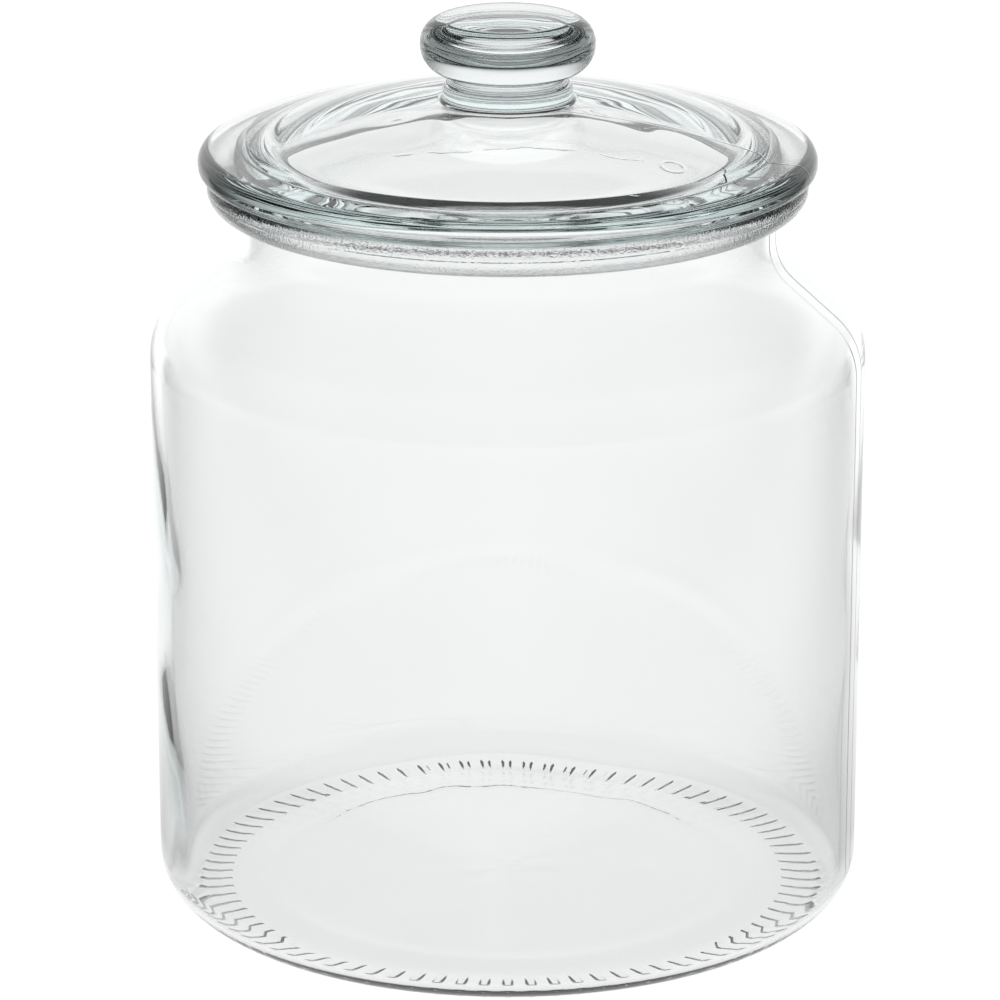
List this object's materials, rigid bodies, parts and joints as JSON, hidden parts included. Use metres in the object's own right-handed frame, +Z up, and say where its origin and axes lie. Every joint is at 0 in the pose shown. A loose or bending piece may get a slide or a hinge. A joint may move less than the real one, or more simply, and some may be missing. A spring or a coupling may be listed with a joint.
{
  "type": "glass jar with lid",
  "caption": "Empty clear glass storage jar with a sloping shoulder, a beaded rim and a domed glass lid with a round knob.",
  "frame": {"origin": "centre of the standing ring on the surface the jar stands on", "axes": "+Z up along the jar's axis of turning, +X and +Y level"},
  "size_m": [0.14, 0.14, 0.1783],
  "materials": {
    "clear_glass": "clear soda-lime glass, smooth and slightly wavy",
    "lid_glass": "pressed clear soda-lime glass with faint chill waves"
  },
  "bodies": {
    "root": {"jar": "clear_glass", "lid": "lid_glass"}
  },
  "joints": []
}
